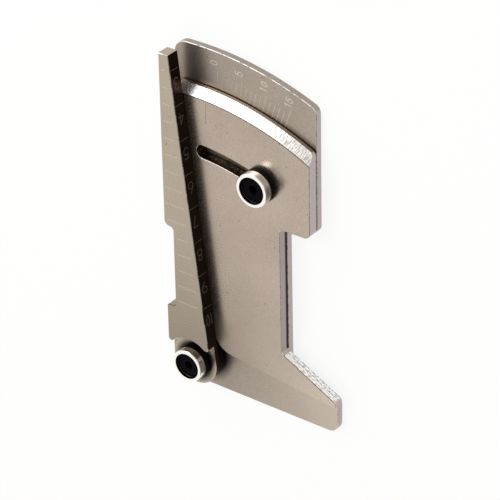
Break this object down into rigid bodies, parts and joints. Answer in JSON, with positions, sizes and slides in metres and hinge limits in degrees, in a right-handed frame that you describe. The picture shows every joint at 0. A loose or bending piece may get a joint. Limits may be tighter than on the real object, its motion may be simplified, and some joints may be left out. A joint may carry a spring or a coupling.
{
  "type": "camber gauge",
  "caption": "Pocket wheel camber and ride-height gauge: a dial plate, a swinging profile plate and a graduated wedge lever on a shared pivot screw.",
  "frame": {"origin": "middle of the gauge's outline, on the plane of its back face", "axes": "+X along the base edge, from the lever's side to the side that faces the wheel; +Y up the dial, away from the base edge; +Z out of the dial face, along the pivot screw"},
  "size_m": [0.0436, 0.0862, 0.009],
  "materials": {
    "plates": "satin, warm grey anodised, fine milling marks on the cut edges",
    "lever": "satin, warm grey anodised",
    "collars": "turned, bright",
    "washers": "matt black",
    "screws": "black oxide, lightly oiled",
    "shims": "thin matt plastic"
  },
  "bodies": {
    "dial": {"back_plate": "plates", "pivot_screw": "screws", "clamp_screw": "screws", "pivot_collar": "collars", "clamp_collar": "collars", "pivot_washer": "washers", "clamp_washer": "washers", "pivot_shim": "shims", "clamp_shim": "shims", "lever_shim": "shims"},
    "profile": {"front_plate": "plates"},
    "lever": {"wedge_lever": "lever"}
  },
  "joints": [
    {"name": "camber_swing", "type": "hinge", "parent": "dial", "child": "profile", "pos_m": [-0.01582, -0.0349, 0.00315], "axis": [0, 0, -1], "range_deg": [0, 16]},
    {"name": "lever_swing", "type": "hinge", "parent": "dial", "child": "lever", "pos_m": [-0.01582, -0.0349, 0.0051], "axis": [0, 0, 1], "range_deg": [-15, 329]}
  ]
}
